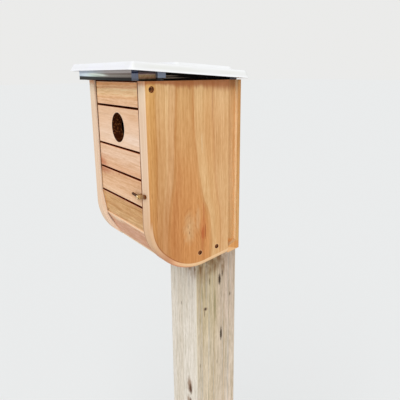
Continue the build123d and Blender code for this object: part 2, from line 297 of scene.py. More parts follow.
class Wood(Shader):
    """Sawn wood with its grain along one axis."""

    def __init__(self, name, along, seed):
        super().__init__(name, seed)
        self.along = "xyz".index(along)
        self.shine = matt
        self.amber = (0.65, 1.0, 1.5)

    def tinted(self, factor):
        """The darker the wood, the more amber it is."""
        offset = tuple(1 - share for share in self.amber)
        tint = self.vector("MULTIPLY_ADD", factor, self.amber, offset)
        return self.vector("MAXIMUM", tint, (darkest, darkest, darkest))

    def streak(self, width, length, seed=0.0, detail=2.0):
        size = [width] * 3
        size[self.along] = length
        return self.cloud(size, seed, detail)

    def end_face(self):
        return self.step(self.absolute((self.nx, self.ny, self.nz)[self.along]), 0.6, 0.85)

    def end_rings(self, colour, dark, heart, spacing=3.4):
        """Growth rings round the heart of the log on the faces cut across the grain."""
        axes = enumerate((self.x, self.y, self.z))
        across = [axis for index, axis in axes if index != self.along]
        radius = self.plus(self.distance(*across, heart), self.sway(9, 0.8, 21))
        turns = self.math("FRACT", self.math("DIVIDE", radius, spacing))
        late = self.product(self.step(turns, 0.35, 0.9), self.step(turns, 1.0, 0.93))
        ringed = self.cover(colour, dark, late, 0.6)
        pitted = self.tone(ringed, (self.cloud(0.5, 5), 0.5))
        return self.mix(self.end_face(), colour, pitted)

    def grained(self, colour, pore, contrast=1.0):
        """Adds streaks, fibres and dark pores along the grain to a colour."""
        broad = self.streak(6, 220, 1)
        clear = self.step(self.streak(3.2, 240, 6), 0.36, 0.64)
        fine = self.streak(2.2, 36, 2, 3.0)
        grit = self.streak(1.5, 9, 7, 1.0)
        self.fibre = self.streak(0.45, 26, 3, 3.0)
        parts = (broad, 0.14), (clear, 0.08), (fine, 0.66), (grit, 0.36), (self.fibre, 0.22)
        toned = self.tone(colour, *[(noise, strength * contrast) for noise, strength in parts])
        self.pores = self.step(self.streak(0.55, 12, 4, 1.0), 0.68, 0.78)
        return self.cover(toned, pore, self.pores, 0.35 * contrast)

    def sawn(self, colour):
        """Ends the material with the bump and gloss of its fibres."""
        self.bump(self.minus(self.fibre, self.product(self.pores, 0.5)), fibre_mm, 0.8)
        self.surface.inputs["Specular IOR Level"].default_value = matt
        self.give("Specular IOR Level", self.shine)
        return self.finish(colour, self.step(self.fibre, 0.25, 0.75, *fibre_roughness))

    def cavity(self):
        """1 on the faces inside the box."""
        aside = self.absolute(self.x)
        sideways = self.step(aside, inner_half_width + 0.5, inner_half_width + 0.1)
        behind = self.step(self.y, door_back - 0.9, door_back - 0.2)
        before = self.step(self.y, board_depth + 0.6, board_depth + 0.2)
        return self.product(sideways, behind, before)

    def gap_faces(self, colour, reach):
        """Painted shade on the faces between two boards, from a little behind their front."""
        level = self.step(self.absolute(self.nz), 0.45, 0.75)
        start = door_front + reach
        gap_shade = self.product(level, self.step(self.y, start - 0.2, start + 0.2))
        self.shine = self.step(gap_shade, 0, 1, matt, 0)
        brown = self.mix(self.step(self.nz, -0.3, 0.3), (142, 98, 64), (112, 38, 2))
        return self.mix(gap_shade, colour, self.tone(brown, (self.cloud(3, 25, 3.0), 0.8)))

    def inside_shade(self, colour):
        """Inner faces: rough wood in a painted dark brown shade, with the marks of the saw across
        it.
        """
        shade_brown = self.mix(self.cloud(14, 11, 3.0), (88, 54, 32), (116, 76, 46))
        saw = self.cloud((90, 90, 1.1 if self.along == 2 else 0.8), 12, 1.0)
        return self.mix(self.cavity(), colour, self.tone(shade_brown, (saw, 0.5), (self.fibre, 0.4)))


def assign(material, *names):
    for name in names:
        mesh = nodes[name].data
        mesh.materials.clear()
        mesh.materials.append(material)


# Side boards: their outline and holes, and their grain's lines as pairs of a depth and a distance
# from the front
cedar_pore = (160, 104, 62)
pivot_place = (8.5, -9.3)
pivot_bore_radius = 4.1
floor_bore_radius = 3.1
hole_core = 0.94
curve_radius = 68
side_round = 4.5
foot_slope_deg = 10.9
foot_start = -257.56
turned_stretch = 0.93
ring_heart = 34
flame_span = 245
flame_left = ((0, 42.5), (60, 39.7), (120, 36.6), (145, 31.6), (170, 27.9), (196, 25.7), (245, 30))
flame_right = (
    (0, 63.5), (60, 65), (104, 69.5), (131, 74), (151, 78.3), (164, 84.5), (180, 88.5), (245, 89.5)
)
flame_start = 40
flame_end = 64
arch_middle = 58
arch_depth = 152
arch_steepness = 0.1
arch_spacing = 9.5

side_red = (176, 92, 52)
side_flecks = (
    ((70, -176), (4.5, 23), (222, 178, 130), 0.45),
    ((78.5, -192), (6.5, 26), (200, 118, 68), 0.45),
    ((77.5, -197), (3.0, 13), (184, 88, 46), 0.62),
    ((81.5, -195), (1.3, 14), (156, 80, 42), 0.8),
    ((75.5, -199), (0.9, 9), (168, 90, 50), 0.6),
    ((77, -216), (3, 18), side_red, 0.3),
    ((79, -166), (2.4, 18), side_red, 0.35),
    ((9.5, -160), (0.7, 13), (165, 108, 58), 0.6),
    ((48, -204), (0.8, 8), (165, 108, 64), 0.6),
    ((54.5, -184), (0.9, 3.5), (140, 84, 48), 0.6),
    ((56.8, -192.5), (1.0, 3.0), (130, 76, 44), 0.7),
    ((4, -135), (0.7, 5), (160, 108, 62), 0.5),
    ((77.5, -76), (0.9, 18), (238, 209, 166), 0.6),
    ((94, -28), (1.2, 30), (176, 122, 82), 0.35),
)


def flame_field(wood, y, depth):
    """A point's place between the grain lines, first at the board's top, then in the flame."""
    left = wood.curve(depth, flame_span, board_depth, *flame_left)
    right = wood.curve(depth, flame_span, board_depth, *flame_right)
    before = wood.slope(y, 0.0, left, 0.0, flame_start)
    within = wood.slope(y, left, right, 0.0, 1.0)
    after = wood.slope(y, right, board_depth, 0.0, board_depth - flame_end)
    place = wood.plus(before, wood.math("MULTIPLY_ADD", within, flame_end - flame_start, after))
    return place, within


def side_bands(wood, place):
    """Straight bands of the board's own grain, from its front to its back."""
    golden = (221, 168, 104)
    straw = (222, 175, 121)
    pink = (224, 177, 126)
    tan = (218, 167, 110)
    return wood.ramp(
        place, board_depth,
        (0, 204, 150, 90), (3.5, *golden), (10.5, *golden), (12.5, 208, 154, 94),
        (15, *straw), (24, *straw), (26.5, 233, 191, 138), (29, *pink), (36.5, *pink),
        (38.5, 200, 142, 86), (41, *tan), (62, *tan), (65, 208, 150, 94),
        (68, 226, 181, 127), (79, 227, 182, 128), (83, 222, 173, 118), (92, 223, 174, 119),
        (94.5, 211, 158, 106), (98, 225, 178, 126), (118, 226, 180, 128),
    )


def side_amber(wood, colour, place, depth):
    """Amber at half the board's height and towards its foot, most of all before the flame."""
    aside = wood.opposite(wood.product(wood.between(place, 42, 60, 4), 0.7))
    colour = wood.cover(colour, (196, 128, 66), wood.between(depth, 38, 108, 22), aside, 0.2)
    share = wood.step(place, flame_start, flame_end, 1.0, 0.15)
    amber = wood.mix(0.7, colour, (188, 122, 68))
    return wood.cover(colour, amber, wood.step(depth, 20, 215), share)


def side_flame(wood, colour, within, depth, flat):
    """The orange tongue of heartwood with its darker rim and pale loop."""
    orange = wood.ramp(
        depth, flame_span, (20, 213, 163, 108), (110, 212, 149, 91), (200, 209, 144, 86)
    )
    inside = wood.product(wood.step(within, 0.0, 0.06), wood.step(within, 1.0, 0.93))
    colour = wood.cover(colour, orange, inside, wood.step(depth, 0, 190, 0.35, 0.95))
    rim = wood.product(wood.step(within, 0.0, 0.07), wood.step(within, 0.34, 0.16))
    colour = wood.cover(colour, (194, 128, 76), rim, wood.step(depth, 60, 150), 0.5)
    loop = wood.patch(flat, (57.5, -188), (14, 28), 0.8, 0.1)
    return wood.cover(colour, (219, 176, 127), loop, 0.7)


def side_arches(wood, colour, within, depth, y):
    """Nested arches of late wood inside the flame's lower half."""
    off = wood.minus(y, arch_middle)
    fall = wood.product(off, off, -arch_steepness)
    below = wood.minus(wood.plus(depth, fall), arch_depth)
    turns = wood.math("FRACT", wood.math("DIVIDE", below, arch_spacing))
    line = wood.product(wood.step(turns, 0.45, 0.85), wood.step(turns, 1.0, 0.9))
    length = wood.product(wood.step(below, 0, 2), wood.step(below, 70, 30))
    inside = wood.step(within, 0.02, 0.12), wood.step(within, 0.98, 0.85)
    broken = wood.step(wood.streak(7, 60, 22), 0.35, 0.6)
    shown = wood.product(length, *inside, broken)
    return wood.cover(colour, (168, 100, 56), line, shown, 0.24)


def side_screw_stains_and_shade(wood, colour):
    """Warm halo of the pivot screw and pale rims of the floor's screws, with painted shade in
    their holes.
    """
    flat = wood.flat(wood.y, wood.z)
    halo = wood.patch(flat, pivot_place, (8, 8), 0.4)
    colour = wood.cover(colour, (228, 180, 104), halo, 0.4)
    bore = wood.patch(flat, pivot_place, [pivot_bore_radius] * 2, core=hole_core)
    # Painted shade: the bore darker away from its mouth, and the floor screws' holes dark.
    mouth = wood.step(wood.absolute(wood.x), half_width - 2.6, half_width - 1.2)
    colour = wood.mix(bore, colour, wood.mix(mouth, (132, 70, 34), (226, 170, 108)))
    for name in ("floor_screw_right_front", "floor_screw_right_rear"):
        low, high = house_box(name)
        centre = ((low[1] + high[1]) / 2, (low[2] + high[2]) / 2)
        rim = wood.patch(flat, centre, (5.0, 5.0), 0.3, 0.6)
        colour = wood.cover(colour, (232, 186, 140), rim, 0.35)
        hole = wood.patch(flat, centre, [floor_bore_radius] * 2, core=hole_core)
        colour = wood.mix(hole, colour, (70, 36, 18))
    return colour


def side_top_shade(wood, colour):
    """Reddish band under the roof, partly weathering and partly painted shade, with a streaky
    lower edge.
    """
    reach = wood.curve(
        wood.y, board_depth, 20,
        (0, 3.5), (38, 4.2), (48, 6.2), (60, 6), (72, 5.8), (82, 6.6), (92, 8.2), (106, 9.8),
        (board_depth, 11.2),
    )
    ragged = wood.step(wood.streak(9, 90, 14), 0.36, 0.66, 0.85, 1.15)
    fine = wood.step(wood.streak(2.4, 90, 13, 3.0), 0.36, 0.66, 0.9, 1.12)
    share = wood.math("DIVIDE", wood.negative(wood.z), wood.product(reach, ragged, fine))
    stain_and_shade = wood.mix(wood.cloud((9, 5, 12), 24), (158, 84, 48), (182, 110, 68))
    return wood.cover(colour, stain_and_shade, wood.step(share, 1.7, 0.6), 0.78)


def side_inset(wood):
    """Distance from the round corner and the sloping foot of the side's outline."""
    slope = math.radians(foot_slope_deg)
    line = wood.math("MULTIPLY_ADD", wood.y, -math.tan(slope), wood.minus(wood.z, foot_start))
    from_line = wood.math("MULTIPLY", line, math.cos(slope))
    centre_z = foot_start + curve_radius * (math.tan(slope) + 1 / math.cos(slope))
    from_arc = wood.minus(curve_radius, wood.distance(wood.y, wood.z, (curve_radius, centre_z)))
    straight = wood.math("GREATER_THAN", wood.y, curve_radius * (1 + math.sin(slope)))
    return wood.math("MULTIPLY_ADD", wood.minus(from_line, from_arc), straight, from_arc)


def side_edges(wood, colour, ruddy):
    """Pale rounded edge at the front and along the foot, with a thin dark line where it starts."""
    y = wood.y
    depth = wood.negative(wood.z)
    width = wood.step(y, 2, 30, side_round - 1.2, side_round + 1.7)
    past = wood.minus(side_inset(wood), width)
    within = wood.step(past, 0.5, -0.3)
    low = wood.step(depth, 165, 185)
    bend = wood.product(within, low, wood.step(y, 60, 45))
    ahead = wood.step(wood.negative(wood.ny), 0.68, 0.9)
    front = wood.math("MAXIMUM", bend, wood.product(ahead, wood.step(y, 60, 50)))
    foot = wood.product(within, low, wood.step(y, 22, 38))
    # The strip along the front edge
    strip = wood.step(wood.streak(5, 160, 16), 0.4, 0.6)
    strip = wood.mix(strip, (232, 199, 169), (240, 210, 182))
    strip = wood.mix(wood.step(depth, 90, 200, 0.0, ruddy), strip, (218, 172, 128))
    strip = wood.mix(wood.step(depth, 198, 226, 0.0, ruddy), strip, (198, 134, 96))
    # Painted light: the strip lighter near its top, against the roof's shadow.
    strip = wood.mix(wood.step(depth, 45, 10, 0.0, 0.6), strip, (252, 226, 194))
    # A darker brown band along its top under the roof, partly weathering and partly painted shade.
    under_roof = wood.step(wood.plus(depth, wood.sway((4, 4, 30), 2, 27)), 7.5, 2.0)
    strip = wood.cover(strip, (208, 142, 96), under_roof, 0.75)
    # Painted highlight along the strip's outer rounded edge.
    bright = wood.step(wood.absolute(wood.x), half_width - 3.5, half_width - 1.5)
    bright = wood.product(bright, wood.step(depth, 190, 150), wood.step(depth, 4, 12), 0.35)
    strip = wood.mix(bright, strip, (250, 230, 204))
    # The strip along the foot
    pale = wood.ramp(y, board_depth, (28, 238, 178, 134), (50, 240, 198, 151))
    pale = wood.tone(pale, (wood.cloud(8, 17), 0.25))
    # Painted shade: the part of the round edge that faces down is pinker and darker.
    falling = wood.step(wood.negative(wood.nz), 0.4, 0.62)
    pale = wood.cover(pale, (222, 146, 108), falling, wood.between(y, 24, 62, 9), 0.9)
    line = wood.product(wood.between(past, 0.4, 1.2, 0.5), wood.step(depth, 175, 205))
    line = wood.product(line, wood.step(y, 52, 34))
    colour = wood.mix(front, colour, strip)
    colour = wood.mix(foot, colour, pale)
    return wood.cover(colour, (150, 82, 52), line, 0.75)


def side_inner_face(wood, colour, turned):
    """Pale reveal in front of the boards, painted light, and painted shade where they meet the
    side.
    """
    depth = wood.negative(wood.z)
    lower_top = -lower_board_box[1][2]
    lower_foot = -lower_board_box[0][2]
    lean_end = door_front + lower_board_lean
    lean = wood.slope(depth, lower_top, lower_foot, door_front, lean_end)
    run = 20
    drop = run * math.tan(math.radians(sloping_board_angle_deg))
    slope = wood.slope(depth, lower_foot, lower_foot + drop, 0, run)
    ahead = wood.minus(wood.plus(lean, slope), wood.y)
    # Painted light: the reveal in front of the boards is pale, as if lit.
    inner = wood.step(wood.absolute(wood.x), inner_half_width + 0.4, inner_half_width + 0.2)
    pale = wood.tone((243, 219, 195), (wood.fibre, 0.3))
    colour = wood.cover(colour, pale, inner, wood.step(ahead, 0.0, 0.8))
    # Painted shade where the boards meet the side, wider beside the sloping board.
    wide = wood.step(depth, lower_foot, lower_foot + 4)
    wide = wood.product(wide, wood.step(depth, lower_foot + 34, lower_foot + 8))
    gap_shade = wood.step(ahead, wood.slope(wide, 0, 1, 1.2, 4.6), -0.3)
    behind = wood.step(wood.y, door_back, door_back - 1)
    below = wood.step(depth, lower_top - 1, lower_top + 1)
    faint = wood.step(wood.between(depth, 128, lower_top - 3, 8), 0, 1, 0.9, 0.3)
    shown = wood.product(inner, gap_shade, wood.math("MAXIMUM", behind, below), faint)
    colour = wood.mix(shown, colour, (108, 54, 24))
    if turned:
        return colour
    # Painted shade: a dark line along the front arris of the inner face, next to the door.
    arris = wood.step(wood.x, inner_half_width + 3.0, inner_half_width + 1.2)
    strength = wood.curve(
        depth, flame_span, 1,
        (0, 1.0), (30, 1.0), (45, 0.75), (90, 0.75), (100, 0.95), (150, 0.95), (165, 0.5),
        (flame_span, 0.4),
    )
    return wood.cover(colour, (120, 58, 22), arris, wood.step(wood.ny, -0.7, -0.9), strength)


def dress_side(name, seed, turned):
    """A side board; turned shows the same log from its other edge."""
    wood = Wood("cedar_" + name, "z", seed)
    sway = wood.sway((60, 35, 90), 1.6, 7)
    y = wood.plus(wood.minus(board_depth, wood.y) if turned else wood.y, sway)
    depth = wood.math("MULTIPLY", wood.z, -turned_stretch if turned else -1.0)
    flat = wood.flat(y, wood.negative(depth))
    place, within = flame_field(wood, y, depth)
    colour = side_bands(wood, place)
    colour = side_amber(wood, colour, place, depth)
    colour = side_flame(wood, colour, within, depth, flat)
    colour = side_arches(wood, colour, within, depth, y)
    waves = wood.math("MULTIPLY_ADD", wood.streak(9, 260, 8), 9, wood.product(place, 1.9))
    colour = wood.tone(colour, (wood.plus(wood.math("SINE", waves), 0.5), 0.035))
    colour = wood.marked(colour, flat, side_flecks)
    colour = wood.grained(colour, cedar_pore)
    colour = side_top_shade(wood, colour)
    colour = side_edges(wood, colour, 0.1 if turned else 0.75)
    centre_x = (inner_half_width + half_width) / 2
    heart = (ring_heart - centre_x if turned else centre_x - ring_heart, 57)
    colour = wood.end_rings(colour, (214, 150, 106), heart)
    colour = side_inner_face(wood, wood.inside_shade(colour), turned)
    assign(wood.sawn(side_screw_stains_and_shade(wood, colour)), name)


# Back board: its knots with their sizes
back_knots = (((26, -96), 7), ((-41, -172), 5))


def dress_back():
    """A flat-sawn board with two knots, a recess along each edge and a pale sawn foot."""
    wood = Wood("cedar_back_board", "z", 7.0)
    outer = wood.absolute(wood.x)
    drop = wood.negative(wood.z)
    place = wood.plus(wood.x, wood.sway((50, 50, 200), 6, 3))
    grain = wood.ramp(
        wood.plus(place, half_width), 2 * half_width,
        (0, 212, 160, 106), (28, 222, 178, 130), (46, 202, 146, 92), (60, 218, 172, 122),
        (84, 206, 148, 96), (102, 212, 158, 104), (120, 226, 186, 140), (133, 198, 142, 90),
        (150, 220, 174, 124), (174, 210, 158, 104),
    )
    flat = wood.flat(wood.x, wood.z)
    for centre, size in back_knots:
        ring = wood.patch(flat, centre, (2.6 * size, 3.6 * size), 0.6, 0.3)
        grain = wood.cover(grain, (196, 132, 82), ring, 0.45)
        knot = wood.patch(flat, centre, (size, 1.2 * size), 0.5, 0.6)
        grain = wood.cover(grain, (134, 78, 46), knot, 0.85)
    # The recess: its floor, its wall and the rim behind it
    floor = wood.ramp(
        drop, flame_span, (0, 222, 174, 119), (120, 221, 174, 123), (200, 216, 169, 115)
    )
    shades = wood.curve(
        wood.minus(wood.y, board_depth), recess_width, 1,
        (0, 0.2), (2.5, 0.5), (7.5, 0.55), (9, 0.85), (11, 0.3), (recess_width, 0.55),
    )
    floor = wood.tone(floor, (shades, 0.16))
    # Reddish band under the roof, as on the sides: partly weathering, partly painted shade.
    stain_and_top_shade = wood.step(wood.plus(drop, wood.sway((2, 3, 60), 3, 8)), 15, 6)
    floor = wood.cover(floor, (158, 90, 52), stain_and_top_shade, 0.6)
    edge = wood.step(outer, half_width - 8, half_width - 7.4)
    colour = wood.mix(edge, grain, floor)
    # Painted light: the recess's wall paler, as lit.
    wall = wood.step(outer, inner_half_width + 6, inner_half_width + 8)
    colour = wood.cover(colour, (250, 220, 174), wood.step(wood.ny, -0.6, -0.9), wall)
    rim_start = board_depth + recess_width
    rim = wood.step(outer, half_width - 2.4, half_width - 0.9)
    rim_colour = wood.ramp(drop, flame_span, (30, 205, 150, 93), (220, 213, 163, 104))
    behind = wood.step(wood.y, rim_start - 0.6, rim_start + 0.2)
    colour = wood.cover(colour, rim_colour, rim, behind)
    # The foot with the end of the recess
    board_foot = back_box[0][2]
    slope = wood.math("MULTIPLY_ADD", wood.minus(wood.y, back_box[1][1]), 0.3, wood.z)
    # Painted light: faces that look up paler at the foot.
    upward = wood.step(wood.nz, 0.2, 0.5)
    end_block = wood.mix(upward, (219, 153, 90), (232, 182, 134))
    foot = wood.step(slope, board_foot + 15, board_foot + 12)
    colour = wood.cover(colour, end_block, edge, foot, 0.9)
    colour = wood.grained(colour, cedar_pore)
    lower_line = wood.product(edge, wood.step(slope, board_foot + 2.6, board_foot + 1.4))
    pale_foot = wood.math("MAXIMUM", wood.step(wood.nz, -0.1, -0.35), lower_line)
    colour = wood.cover(colour, (236, 190, 140), pale_foot, 0.8)
    colour = wood.end_rings(colour, (212, 150, 100), (12, 96))
    # Painted light: faces that look up lower down paler.
    ledge = wood.product(wood.step(wood.nz, 0.3, 0.6), wood.step(drop, 100, 120))
    colour = wood.cover(colour, (208, 174, 128), ledge, 0.85)
    assign(wood.sawn(wood.inside_shade(colour)), "back_board")


# Boards across the front: seed, contrast of the grain, how far behind the front the painted shade
# in the gaps starts, tones by their share of the height from the top, and marks
front_boards = {
    # The top board's tones are lightened throughout as painted light, against the roof's shadow.
    "door_board_top": (
        11.0, 1.2, 0.8,
        (
            (0.0, 250, 186, 132), (0.12, 248, 178, 120), (0.19, 254, 202, 150),
            (0.25, 238, 174, 126), (0.31, 255, 212, 160), (0.55, 254, 208, 156),
            (0.68, 243, 188, 139), (0.76, 243, 195, 151), (1.0, 241, 193, 153),
        ),
        (),
    ),
    "door_board_entrance": (
        12.0, 0.55, 0.4,
        ((0.0, 238, 195, 157), (0.4, 239, 198, 164), (0.75, 242, 208, 180), (1.0, 239, 200, 168)),
        (
            ((48, -72), (40, 10), (243, 213, 190), 0.6),
            ((46, -44), (30, 7), (226, 176, 134), 0.6),
            ((-50, -45), (36, 3), (218, 176, 138), 0.5),
            ((-44, -74), (34, 4), (222, 182, 146), 0.4),
        ),
    ),
    "door_board_third": (
        13.0, 1.0, 0.7,
        ((0.0, 231, 188, 152), (0.35, 238, 199, 168), (0.7, 228, 181, 142), (1.0, 226, 173, 134)),
        (
            ((-66, -115), (30, 12), (196, 122, 86), 0.9),
            ((-52, -104), (34, 5), (214, 160, 124), 0.45),
            ((30, -108), (50, 4), (222, 178, 144), 0.5),
        ),
    ),
    "door_board_fourth": (
        14.0, 1.0, 0.2,
        ((0.0, 218, 166, 123), (0.3, 226, 179, 138), (0.6, 230, 184, 144), (1.0, 234, 193, 156)),
        (
            ((-60, -124), (46, 9), (180, 112, 78), 0.85),
            ((-5, -123), (2.2, 1.6), (120, 72, 50), 0.8),
            ((20, -140), (60, 3), (216, 170, 130), 0.5),
        ),
    ),
    "lower_front_board": (
        15.0, 1.8, 0.2,
        (
            (0.0, 198, 146, 96), (0.3, 210, 162, 109), (0.5, 203, 152, 100),
            (0.75, 212, 166, 114), (1.0, 205, 158, 111),
        ),
        (
            ((-63.6, -188.6), (2.6, 2.4), (60, 36, 20), 0.95),
            ((20.7, -167), (3, 1.8), (168, 104, 74), 0.6),
        ),
    ),
    "sloping_front_board": (
        16.0, 1.4, None,
        ((0.0, 222, 173, 138), (0.4, 214, 162, 131), (0.8, 219, 168, 137), (1.0, 214, 159, 124)),
        (
            # A pale patch at the top left, painted highlight, and a brown wedge at the left end,
            # painted shade
            ((-40, -196), (34, 8), (238, 206, 174), 0.9),
            ((45, -214), (44, 18), (212, 152, 112), 0.55),
            ((-67, -202), (3.4, 15), (150, 94, 64), 0.85),
        ),
    ),
}
# How far the painted edge highlights reach from a board's top and foot
highlight_reach = 1.3


def front_board(name):
    """A board with its grain across the door, its tones and its marks."""
    seed, contrast, _, tones, marks = front_boards[name]
    wood = Wood("cedar_" + name, "x", seed)
    low, high = house_box(name)
    height = high[2] - low[2]
    bend = wood.sway((120, 30, 30), 0.09 * height, 3)
    drop = wood.minus(high[2], wood.plus(wood.z, bend))
    colour = wood.ramp(drop, height, *[(share * height, *tone) for share, *tone in tones])
    colour = wood.marked(colour, wood.flat(wood.x, wood.z), marks, 0.6, 0.15)
    return wood, wood.grained(colour, (170, 112, 72), contrast)


def edge_highlights_and_gaps(wood, colour, name, gap_start):
    """Painted highlights on the edges along the gaps above and below a board, and painted shade in
    the gaps.
    """
    low, high = house_box(name)
    # Painted highlight along the board's top and foot
    from_top = wood.step(wood.z, high[2] - highlight_reach, high[2] - 0.35 * highlight_reach)
    from_foot = wood.step(wood.z, low[2] + highlight_reach, low[2] + 0.35 * highlight_reach)
    edge_highlight = wood.math("MAXIMUM", from_top, from_foot)
    facing = wood.step(wood.ny, -0.15, -0.5)
    colour = wood.cover(colour, (255, 219, 184), edge_highlight, facing, 0.7)
    lip = wood.step(wood.absolute(wood.nz), 0.25, 0.5)
    colour = wood.cover(colour, (212, 124, 74), lip, 0.8)
    sawn_end = wood.mix(wood.cloud(1.4, 26, 3.0), (136, 76, 38), (184, 118, 72))
    colour = wood.mix(wood.end_face(), colour, sawn_end)
    return wood.gap_faces(colour, gap_start)


def entrance_hole(wood, colour):
    """A bright rim round the entrance, a painted highlight, and dark wood with speckles inside it.
    """
    radius = wood.distance(wood.x, wood.z, (0, -entrance_drop))
    # Painted highlight on the entrance's rim
    rim = wood.step(radius, entrance_radius + 2.0, entrance_radius + 0.4)
    colour = wood.cover(colour, (255, 226, 196), rim, 0.7)
    speckle = wood.step(wood.cloud((2.2, 3.0, 2.2), 31, 3.0), 0.5, 0.68)
    low_left = wood.step(wood.minus(wood.x, wood.z), entrance_drop + 8, entrance_drop - 14)
    shown = wood.product(speckle, wood.step(low_left, 0, 1, 0.35, 1.0))
    wall = wood.mix(shown, (66, 28, 10), (142, 86, 42))
    inside = wood.step(radius, entrance_radius + 0.7, entrance_radius + 0.3)
    behind = wood.step(wood.y, door_front - 0.4, door_front + 0.1)
    return wood.cover(colour, wall, inside, behind)


def sloping_ends(wood, colour):
    """Pale bands along the sloping board's top, a painted highlight, and along its foot."""
    low, high = sloping_board_box
    top = wood.step(wood.z, high[2] - 3.2, high[2] - 1.8)
    foot = wood.step(wood.z, low[2] + 3.4, low[2] + 2.2)
    colour = wood.mix(top, colour, (255, 220, 184))
    return wood.mix(foot, colour, (240, 212, 176))


def dress_front():
    """The four boards of the door, and the two fixed boards, which get the painted inside shade
    only behind.
    """
    for name in front_boards:
        wood, colour = front_board(name)
        gap_start = front_boards[name][2]
        if gap_start is None:
            colour = sloping_ends(wood, colour)
        else:
            colour = edge_highlights_and_gaps(wood, colour, name, gap_start)
        if name == "door_board_entrance":
            colour = entrance_hole(wood, colour)
        inside_shade = wood.inside_shade(colour)
        if not name.startswith("door"):
            inside_shade = wood.mix(wood.step(wood.ny, 0.0, 0.3), colour, inside_shade)
        assign(wood.sawn(inside_shade), name)


def dress_hidden_wood():
    """Floor, battens behind the door and batten under the roof."""
    for name, along, seed, light, dark, pieces in (
        ("cedar_inner", "x", 17.0, (206, 162, 116), (186, 138, 92), ["floor_board"]),
        (
            "cedar_door_batten", "z", 18.0, (204, 158, 112), (182, 132, 88),
            ["door_batten_left", "door_batten_right"],
        ),
    ):
        wood = Wood(name, along, seed)
        colour = wood.mix(wood.streak(12, 70, 2), light, dark)
        colour = wood.grained(colour, (140, 92, 56), 1.3)
        assign(wood.sawn(wood.inside_shade(colour)), *pieces)
    wood = Wood("striped_roof_batten", "x", 19.0)
    stripes = wood.step(wood.streak(2.2, 120, 5), 0.42, 0.58)
    colour = wood.mix(stripes, (168, 119, 84), (202, 162, 122))
    layers = wood.ramp(
        wood.plus(wood.z, wood.sway((30, 6, 30), 0.4, 6)), 11,
        (0.3, 24, 20, 14), (2.0, 60, 54, 38), (3.2, 150, 116, 88), (5.2, 184, 146, 112),
        (6.6, 176, 156, 112), (7.6, 190, 158, 146), (8.4, 120, 100, 96), (9.4, 84, 72, 76),
        (11, 92, 80, 84),
    )
    colour = wood.mix(wood.end_face(), colour, layers)
    assign(wood.sawn(wood.grained(colour, (120, 80, 52), 1.3)), "roof_batten")


# Post: marks on the face to the right and on the front face
crack = (74, 62, 52)
olive = (158, 146, 110)
post_right_marks = (
    ((141.5, -300), (3.2, 13), crack, 1.0),
    ((147, -291), (2.2, 8), crack, 0.7),
    ((114.8, -343.5), (5.2, 5.0), (142, 118, 94), 0.8),
    ((114.8, -343.5), (2.8, 2.6), (78, 60, 48), 0.9),
    ((113.0, -351), (1.3, 9), (120, 98, 78), 0.7),
    ((144.6, -396), (2.8, 17), crack, 1.0),
    ((162.0, -330.5), (1.4, 5), crack, 0.8),
    ((104.0, -440), (1.2, 6), (130, 112, 92), 0.7),
    ((137.0, -445), (1.2, 6), (130, 112, 92), 0.7),
    ((109.0, -317), (1.9, 18), olive, 0.7),
    ((132.5, -342), (2.8, 42), olive, 0.75),
    ((122.5, -299), (1.8, 9), (136, 122, 92), 0.75),
    ((155.0, -430), (2.6, 60), olive, 0.45),
    ((120.0, -520), (3.0, 60), olive, 0.4),
)
post_front_marks = (
    ((16, -486), (9.5, 21), (152, 122, 98), 0.85),
    ((19, -492), (6.0, 13), (92, 62, 42), 0.95),
    ((13, -520), (7.5, 16), (160, 132, 108), 0.8),
    ((19, -518), (5.0, 12), (98, 66, 46), 0.9),
    ((-3.9, -345.6), (1.4, 5), (120, 100, 82), 0.8),
    ((-20, -430), (1.0, 40), (170, 156, 138), 0.6),
)


def post_wood(wood):
    """Bleached softwood: grey fibres, yellow-brown streaks and long thin checks."""
    # Front and back faces paler and greyer than the sides: partly bleaching, partly painted light.
    front = wood.step(wood.absolute(wood.ny), 0.55, 0.8)
    side = wood.mix(wood.step(wood.y, 126, 150), (207, 188, 152), (210, 189, 168))
    side = wood.mix(wood.step(wood.z, -330, -440, 0.0, 0.6), side, (222, 205, 182))
    colour = wood.mix(front, side, (229, 219, 204))
    warm = wood.step(wood.streak(9, 260, 5), 0.46, 0.66)
    colour = wood.cover(colour, (188, 164, 126), warm, wood.step(front, 0, 1, 0.5, 0.18))
    grey = wood.step(wood.streak(5, 300, 6), 0.5, 0.7)
    colour = wood.cover(colour, (190, 186, 180), grey, wood.step(front, 0, 1, 0.45, 0.15))
    colour = wood.grained(colour, (120, 104, 84), 1.2)
    checks = wood.step(wood.streak(1.3, 150, 9, 1.0), 0.72, 0.8)
    return wood.cover(colour, (104, 90, 74), checks, 0.7), checks


def post_stains(wood, colour):
    """Dark run-off below the house and dirt round the foot."""
    patchy = wood.step(wood.cloud((9, 9, 16), 41, 3.0), 0.3, 0.6)
    reach = wood.math("MULTIPLY_ADD", wood.streak(6, 40, 42), 60, wood.z)
    under = wood.product(wood.step(reach, -275, -235), wood.step(wood.z, -205, -235))
    near = wood.product(wood.step(wood.y, 160, 142), wood.step(wood.x, -6, 30))
    strength = wood.step(near, 0, 1, 0.15, 0.85)
    colour = wood.cover(colour, (132, 95, 56), under, patchy, strength)
    foot = post_box[0][2]
    rising = wood.math("MULTIPLY_ADD", wood.streak(14, 60, 43), -120, wood.z)
    splashed = wood.step(rising, foot + 60, foot - 60)
    return wood.cover(colour, (138, 120, 94), splashed, 0.55)


